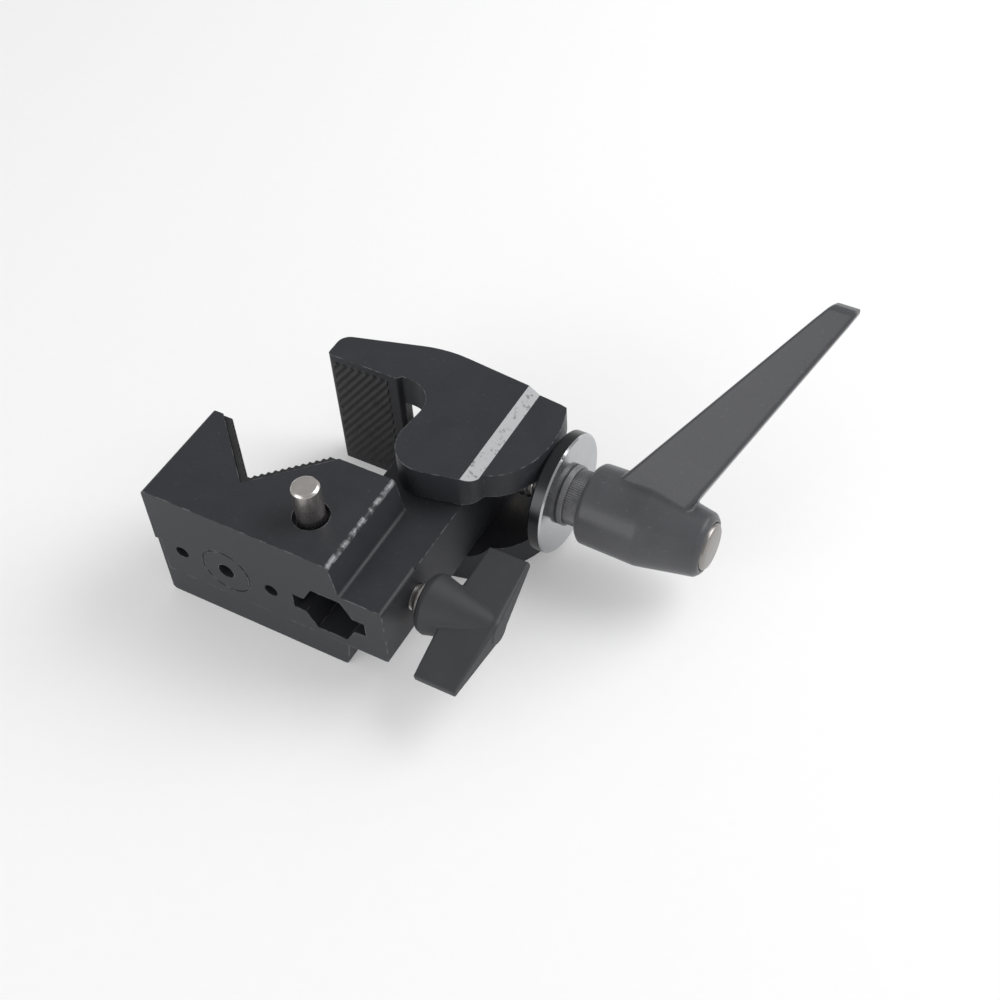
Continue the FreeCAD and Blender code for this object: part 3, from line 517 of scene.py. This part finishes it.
def rubber(name, black, roughness=0.62):
    """Matt black rubber with fine pores and pale dust in its hollows."""
    f = Finish(name)
    pores = f.cells(0.35 * MM)
    dust = f.smooth(f.noise(2.2 * MM, 5.0), 0.48, 0.74)
    return f.surface(
        base_color=f.mix(dust * 0.5, black, shade(black, 3.2)),
        roughness=roughness + 0.16 * dust,
        normal=f.bump(pores, 0.02 * MM),
    )


def turned_steel(name, metal, roughness, centre_y, groove=0.16 * MM):
    """Steel turned on a lathe about the line y = centre_y along X: fine rings and faint smears."""
    f = Finish(name)
    where = f.node("ShaderNodeMapping", {}, {"Vector": f.place, "Location": (0, -centre_y, 0)})
    across = f.node("ShaderNodeVectorMath", {"operation": "MULTIPLY"}, {0: where, 1: (0, 1, 1)})
    radius = f.node("ShaderNodeVectorMath", {"operation": "LENGTH"}, {0: across}, "Value")
    along = f.node("ShaderNodeSeparateXYZ", {}, {"Vector": f.place}, "X")
    rings = f.node("ShaderNodeTexNoise", {"noise_dimensions": "1D"},
                   {"W": (radius + along) * (1 / groove), "Scale": 1.0, "Detail": 3.0})
    smear = f.noise(6 * MM, 4.0)
    return f.surface(
        base_color=f.mix(smear * 0.6 + rings * 0.4, shade(metal, 0.80), shade(metal, 1.12)),
        roughness=roughness + 0.10 * (rings - 0.5) + 0.12 * (smear - 0.4),
        metallic=1.0,
        normal=f.bump(rings, 0.004 * MM),
    )


def pin_steel(name, metal):
    """Bright plated pin: faint lines round it, and a few fine scratches along it."""
    f = Finish(name)
    rings = f.noise(0.14 * MM, 2.0, stretch=(0.06, 0.06, 1))
    scratches = f.smooth(f.noise(0.22 * MM, 3.0, stretch=(1, 1, 0.05)), 0.60, 0.72)
    return f.surface(
        base_color=f.mix(rings, shade(metal, 0.80), shade(metal, 1.15)),
        roughness=0.24 + 0.10 * rings + 0.16 * scratches,
        metallic=1.0,
        normal=f.bump(rings + scratches, 0.004 * MM),
    )


def black_oxide(name, black):
    """Blackened steel: dark and slightly oily, with bright wear on its edges."""
    f = Finish(name)
    film = f.noise(2.4 * MM, 4.0)
    worn = f.edges(0.3 * MM) * f.smooth(f.noise(0.9 * MM, 3.0, shift=0.4), 0.44, 0.66)
    base = f.mix(film, shade(black, 0.7), shade(black, 1.8))
    return f.surface(
        base_color=f.mix(worn * 0.6, base, (0.30, 0.30, 0.31)),
        roughness=0.32 + 0.20 * film,
        metallic=0.25 + 0.5 * worn,
        normal=f.bump(f.noise(0.3 * MM, 2.0), 0.012 * MM),
    )


def moulded_plastic(name, plastic):
    """Glass-filled nylon: spark-eroded grain, soft flow marks and paler worn edges."""
    f = Finish(name)
    grain = f.cells(0.30 * MM) * 0.6 + f.noise(0.55 * MM, 3.0) * 0.6
    flow = f.noise(7 * MM, 4.0, stretch=(1, 0.35, 1))
    pale = f.edges(0.5 * MM) * f.smooth(f.noise(2.0 * MM, 4.0, shift=0.2), 0.36, 0.66)
    base = f.mix(flow, shade(plastic, 0.84), shade(plastic, 1.22))
    return f.surface(
        base_color=f.mix(pale * 0.35, base, (0.16, 0.16, 0.17)),
        roughness=0.50 + 0.14 * flow,
        normal=f.bump(grain, 0.022 * MM),
    )


def spring_wire(name, metal):
    """Drawn wire with a light film of oil."""
    f = Finish(name)
    film = f.noise(1.2 * MM, 3.0)
    return f.surface(
        base_color=f.mix(film, shade(metal, 0.55), shade(metal, 0.9)),
        roughness=0.26 + 0.2 * film,
        metallic=1.0,
        normal=f.bump(f.noise(0.12 * MM, 2.0), 0.004 * MM),
    )


# ---- operators, one for each piece or group of like pieces ----


class CLAMP_OT_castings(bpy.types.Operator):
    """Model and coat the fixed jaw and the moving jaw"""

    bl_idname = "clamp.castings"
    bl_label = "Jaw castings"

    def execute(self, context):
        sizes = context.scene.clamp_casting
        coat = cast_coat("cast_coat", sizes.coat, sizes.gloss, sizes.metal)
        band = rubbed_metal("rubbed_band", sizes.metal)
        for node, body in (("fixed_jaw", "base"), ("moving_jaw", "jaw")):
            piece = copy_of(node, node + "_casting")
            if node == "fixed_jaw":
                self.soften_shoulder(piece, sizes.shoulder)
            rounded(piece, sizes.edge)
            give(piece, body, "cast_black", coat, node)
        piece.data.materials.append(band)
        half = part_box("moving_jaw")[1].z
        for face in piece.data.polygons:
            sloped = 0.30 < face.normal.x < 0.62 and abs(face.normal.y) < 0.05
            face.material_index = 1 if sloped and abs(face.center.z) > 0.85 * half else 0
        return {"FINISHED"}

    def soften_shoulder(self, piece, radius):
        """Round the long edges from which the block steps down to the tongue."""
        beside_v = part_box("v_liner")[1].x
        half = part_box("fixed_jaw")[1].z
        shortest = 6 * radius

        def at_shoulder(one, other):
            along_y = abs(one.x - other.x) < HAIR and abs(one.z - other.z) < HAIR
            on_block = one.x > beside_v and abs(one.z) > 0.9 * half
            return along_y and on_block and abs(one.y - other.y) > shortest

        pick_edges(piece, at_shoulder)
        bpy.ops.mesh.bevel(offset=radius, segments=5, affect="EDGES")
        leave_edit()


class CLAMP_OT_liner(bpy.types.Operator):
    """Model the toothed liner of the V"""

    bl_idname = "clamp.liner"
    bl_label = "V liner"

    def execute(self, context):
        sizes = context.scene.clamp_rubber
        piece = copy_of("v_liner", "toothed_v_liner")
        rounded(piece, sizes.edge)
        give(piece, "base", "liner_rubber", rubber("liner_rubber", sizes.black), "v_liner")
        return {"FINISHED"}


class CLAMP_OT_pad(bpy.types.Operator):
    """Model the ribbed rubber pad of the moving jaw"""

    bl_idname = "clamp.pad"
    bl_label = "Ribbed pad"

    def execute(self, context):
        sizes = context.scene.clamp_rubber
        low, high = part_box("jaw_pad")
        centre = (low + high) / 2
        reach = (high - low).length
        step = sizes.rib_pitch / 2  # from the foot of a rib to its crest
        rows = 2 * math.ceil(reach / sizes.rib_pitch)
        deselect()
        bpy.ops.mesh.primitive_grid_add(x_subdivisions=rows, y_subdivisions=1, size=1,
                                        location=(centre.x, low.y, centre.z),
                                        rotation=(math.pi / 2, 0, 0))
        piece = named("ribbed_pad")
        piece.scale = (rows * step, reach, 1)
        bpy.ops.object.transform_apply(location=True, rotation=True, scale=True)
        start = centre.x - rows * step / 2
        for point in piece.data.vertices:
            point.select = round((point.co.x - start) / step) % 2 == 1
        for edge in piece.data.edges:
            edge.select = all(piece.data.vertices[i].select for i in edge.vertices)
        piece.data.polygons.foreach_set("select", [False] * len(piece.data.polygons))
        edit()
        bpy.ops.transform.translate(value=(0, sizes.rib_height, 0))
        bpy.ops.mesh.select_all(action="SELECT")
        bpy.ops.transform.rotate(value=sizes.rib_angle, orient_axis="Y", center_override=centre)
        through = (0, high.y - low.y + MM, 0)
        bpy.ops.mesh.extrude_region_move(TRANSFORM_OT_translate={"value": through})
        leave_edit()
        for point, normal in (
            (low, (-1, 0, 0)),
            (low, (0, 0, -1)),
            (high, (1, 0, 0)),
            (high, (0, 0, 1)),
            (high, (0, 1, 0)),
        ):
            sliced(piece, point, normal)
        closed_up(piece)
        rounded(piece, 0.12 * MM, 35)
        give(piece, "jaw", "pad_rubber", rubber("pad_rubber", sizes.black, 0.55), "jaw_pad")
        return {"FINISHED"}


class CLAMP_OT_spindle(bpy.types.Operator):
    """Model the spindle's thread, its flange, the thrust disc and the serrated collar"""

    bl_idname = "clamp.spindle"
    bl_label = "Spindle and disc"

    def execute(self, context):
        sizes = context.scene.clamp_steel
        axis_y = middle("thrust_disc").y
        disc_low, disc_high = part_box("thrust_disc")
        disc_radius = (disc_high.y - disc_low.y) / 2
        collar_low, collar_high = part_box("serrated_collar")
        clip_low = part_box("spindle_clip")[0]
        low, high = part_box("spindle")
        flange_radius = (high.y - low.y) / 2
        bush_low, bush_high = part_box("spindle_nut")
        shank = (bush_high.y - bush_low.y) / 2 - BUSH_WALL
        neck = shank - NECK_STEP
        steel = turned_steel("spindle_steel", sizes.thread, 0.30, axis_y)
        oxide = black_oxide("collar_oxide", sizes.oxide)

        thread = threaded("spindle_thread", axis_y, low.x, clip_low.x, shank, sizes.thread_depth,
                          pitch_of("spindle_feed", "spindle_turn"))
        give(thread, "screw", "thread_steel", steel, "spindle")
        journal = lathed("spindle_neck", axis_y, [
            (clip_low.x, 0), (clip_low.x, neck), (disc_low.x - CLEAR, neck),
            (disc_low.x - CLEAR, shank), (disc_high.x + CLEAR, shank), (disc_high.x + CLEAR, 0),
        ])
        give(journal, "screw", "thread_steel", steel)
        flange = lathed("spindle_flange", axis_y, [
            (disc_high.x + 2 * CLEAR, 0), (disc_high.x + 2 * CLEAR, flange_radius - 0.3 * MM),
            (disc_high.x + 0.4 * MM, flange_radius), (collar_low.x - 0.3 * MM, flange_radius),
            (collar_low.x, flange_radius - 0.3 * MM), (collar_low.x, 0),
        ])
        give(flange, "screw", "collar_black", oxide)
        disc = lathed("turned_thrust_disc", axis_y, ring_profile(
            disc_low.x, disc_high.x, shank + 2 * CLEAR, disc_radius, 0.5 * MM), 128)
        plated = turned_steel("plated_disc", sizes.plated, 0.14, axis_y)
        # The rim takes a copy of the plated steel at a tenth of its brightness. This is a painted dark
        # reflection that stands in for the dark surroundings a bright rim would mirror, not a different
        # metal.
        dark = turned_steel("rim_painted_dark_reflection", shade(sizes.plated, 0.10), 0.30, axis_y)
        give(disc, "disc", "plated_steel", plated, "thrust_disc")
        disc.data.materials.append(dark)
        # The faces round the rim get the painted dark reflection, and the disc's flat faces keep the
        # plated steel.
        rim = disc_radius - 0.4 * MM
        for face in disc.data.polygons:
            outside = math.hypot(face.center.y - axis_y, face.center.z) > rim
            face.material_index = 1 if outside and abs(face.normal.x) < 0.5 else 0
        collar = copy_of("serrated_collar", "fine_serrated_collar")
        rounded(collar, 0.10 * MM)
        give(collar, "screw", "collar_black", oxide, "serrated_collar")
        repaint("spindle_clip", spring_wire("clip_steel", sizes.thread))
        return {"FINISHED"}


class CLAMP_OT_lever(bpy.types.Operator):
    """Model the ratchet lever and its screw"""

    bl_idname = "clamp.lever"
    bl_label = "Lever"

    def execute(self, context):
        sizes = context.scene.clamp_lever
        steel = context.scene.clamp_steel
        casting = context.scene.clamp_casting
        piece = copy_of("lever", "lever_casting")
        blended(piece, sizes.grain, sizes.passes)
        coat = cast_coat("lever_coat", sizes.coat, 0.30, casting.metal, 0.22)
        give(piece, "handle", "lever_black", coat, "lever")
        low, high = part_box("lever_screw")
        axis_y = middle("lever_screw").y
        head = (high.y - low.y) / 2
        seat = high.x - SCREW_HEAD
        screw = lathed("capped_lever_screw", axis_y, [
            (low.x, 0), (low.x, SCREW_SHANK), (seat, SCREW_SHANK), (seat, head),
            (high.x - 1.1 * MM, head), (high.x - 0.55 * MM, head - 0.25 * MM),
            (high.x - 0.18 * MM, head - 0.8 * MM), (high.x, head - 1.8 * MM), (high.x, 0),
        ], 72)
        nickel = turned_steel("lever_screw_nickel", shade(steel.nickel, 0.55), 0.32, axis_y)
        give(screw, "screw", "nickel_steel", nickel, "lever_screw")
        repaint("lever_spring", spring_wire("lever_spring_steel", steel.thread))
        return {"FINISHED"}


class CLAMP_OT_knob(bpy.types.Operator):
    """Model the T-knob, its ferrule, its threaded stud and the pressure tip"""

    bl_idname = "clamp.knob"
    bl_label = "T-knob"

    def execute(self, context):
        sizes = context.scene.clamp_knob
        steel = context.scene.clamp_steel
        axis_y = middle("t_knob_stud").y
        piece = copy_of("t_knob", "t_knob_moulding")
        blended(piece, sizes.grain, sizes.passes)
        give(piece, "knob", "knob_plastic", moulded_plastic("knob_nylon", sizes.plastic), "t_knob")
        nickel = turned_steel("knob_nickel", steel.nickel, 0.28, axis_y)
        low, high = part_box("t_knob_ferrule")
        stud_low, stud_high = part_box("t_knob_stud")
        stud_radius = (stud_high.y - stud_low.y) / 2
        ferrule = lathed("grooved_ferrule", axis_y, ring_profile(
            low.x, high.x, stud_radius, (high.y - low.y) / 2, 0.3 * MM), 72)
        give(ferrule, "knob", "nickel_steel", nickel, "t_knob_ferrule")
        stud = threaded("threaded_stud", axis_y, stud_low.x, stud_high.x, stud_radius, steel.stud_depth,
                        pitch_of("knob_feed", "knob_turn"))
        stud_steel = turned_steel("stud_steel", steel.thread, 0.30, axis_y)
        give(stud, "knob", "thread_steel", stud_steel, "t_knob_stud")
        repaint("stud_tip", turned_steel("tip_brass", BRASS, 0.3, axis_y))
        return {"FINISHED"}


class CLAMP_OT_pin(bpy.types.Operator):
    """Finish the safety pin, its spring and its plug"""

    bl_idname = "clamp.pin"
    bl_label = "Safety pin"

    def execute(self, context):
        steel = context.scene.clamp_steel
        piece = copy_of("safety_pin", "chamfered_safety_pin")
        rounded(piece, 0.12 * MM)
        give(piece, "pin", "nickel_steel", pin_steel("pin_nickel", steel.nickel), "safety_pin")
        repaint("safety_plug", black_oxide("plug_oxide", steel.oxide))
        repaint("safety_spring", spring_wire("safety_spring_steel", steel.thread))
        return {"FINISHED"}


class CLAMP_OT_pivot(bpy.types.Operator):
    """Finish the pivot screw, its washers, the jaw spring and the spindle's bush"""

    bl_idname = "clamp.pivot"
    bl_label = "Pivot"

    def execute(self, context):
        steel = context.scene.clamp_steel
        piece = copy_of("pivot_screw", "socket_pivot_screw")
        rounded(piece, 0.25 * MM)
        give(piece, "jaw", "black_steel", black_oxide("pivot_oxide", steel.oxide), "pivot_screw")
        repaint("pivot_washers", spring_wire("washer_steel", steel.plated))
        repaint("jaw_spring", spring_wire("jaw_spring_steel", steel.thread))
        repaint("spindle_nut", turned_steel("bush_brass", BRASS, 0.3, middle("spindle_nut").y))
        return {"FINISHED"}


class CLAMP_OT_stage(bpy.types.Operator):
    """Set up the floor, the soft lights and the camera"""

    bl_idname = "clamp.stage"
    bl_label = "Stage"

    def execute(self, context):
        sizes = context.scene.clamp_stage
        scene = context.scene
        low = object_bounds()[0]
        scene.view_settings.view_transform = "Standard"
        deselect()
        bpy.ops.mesh.primitive_plane_add(size=12, location=(0, 0, low.z))
        floor = named("floor")
        floor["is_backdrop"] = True
        paper = Finish("pale_paper")
        fibres = paper.noise(4 * MM, 3.0)
        floor.data.materials.append(paper.surface(
            base_color=paper.mix(fibres, shade(sizes.floor, 0.97), sizes.floor), roughness=0.85,
            emission_color=(1, 1, 1, 1), emission_strength=sizes.glow))

        world = bpy.data.worlds.new("soft_sky")
        scene.world = world
        world.use_nodes = True
        sky = world.node_tree.nodes["Background"]
        sky.inputs["Color"].default_value = (1, 1, 1, 1)
        sky.inputs["Strength"].default_value = sizes.sky
        for name, place, size, power in (
            ("key_light", KEY_PLACE, 0.8, sizes.key),
            ("front_light", FRONT_PLACE, 0.7, sizes.fill),
        ):
            bpy.ops.object.light_add(type="AREA", location=place)
            light = bpy.context.object
            light.name = name
            light.data.size = size
            light.data.energy = power
            light.rotation_mode = "QUATERNION"
            light.rotation_quaternion = (LIT - place).to_track_quat("-Z", "Y")

        bpy.ops.object.camera_add(location=EYE, rotation=[math.radians(angle) for angle in EYE_TURN])
        camera = bpy.context.object
        camera.data.sensor_width = 36
        camera.data.lens = 57.65
        camera.data.shift_x = -0.0046
        camera.data.shift_y = 0.0055
        camera.data.clip_start = 0.01
        camera.data.clip_end = 50
        scene.camera = camera
        return {"FINISHED"}


OPERATORS = (
    CLAMP_OT_castings, CLAMP_OT_liner, CLAMP_OT_pad, CLAMP_OT_spindle, CLAMP_OT_lever, CLAMP_OT_knob,
    CLAMP_OT_pin, CLAMP_OT_pivot, CLAMP_OT_stage,
)
SETTINGS = {
    "clamp_casting": CastingSettings,
    "clamp_rubber": RubberSettings,
    "clamp_steel": SteelSettings,
    "clamp_lever": LeverSettings,
    "clamp_knob": KnobSettings,
    "clamp_stage": StageSettings,
}


class CLAMP_PT_sidebar(bpy.types.Panel):
    """The clamp's operators and settings"""

    bl_idname = "CLAMP_PT_sidebar"
    bl_label = "Super Clamp"
    bl_space_type = "VIEW_3D"
    bl_region_type = "UI"
    bl_category = "Clamp"

    def draw(self, context):
        for operator in OPERATORS:
            self.layout.operator(operator.bl_idname)
        for name, group in SETTINGS.items():
            box = self.layout.box()
            for setting in group.__annotations__:
                box.prop(getattr(context.scene, name), setting)


def register():
    for group in (*SETTINGS.values(), *OPERATORS, CLAMP_PT_sidebar):
        bpy.utils.register_class(group)
    for name, group in SETTINGS.items():
        setattr(bpy.types.Scene, name, bpy.props.PointerProperty(type=group))


def unregister():
    for name in SETTINGS:
        delattr(bpy.types.Scene, name)
    for group in (CLAMP_PT_sidebar, *reversed(OPERATORS), *reversed(SETTINGS.values())):
        bpy.utils.unregister_class(group)


def main():
    register()
    for operator in OPERATORS:
        area, step = operator.bl_idname.split(".")
        getattr(getattr(bpy.ops, area), step)()


if __name__ == "__main__":
    main()
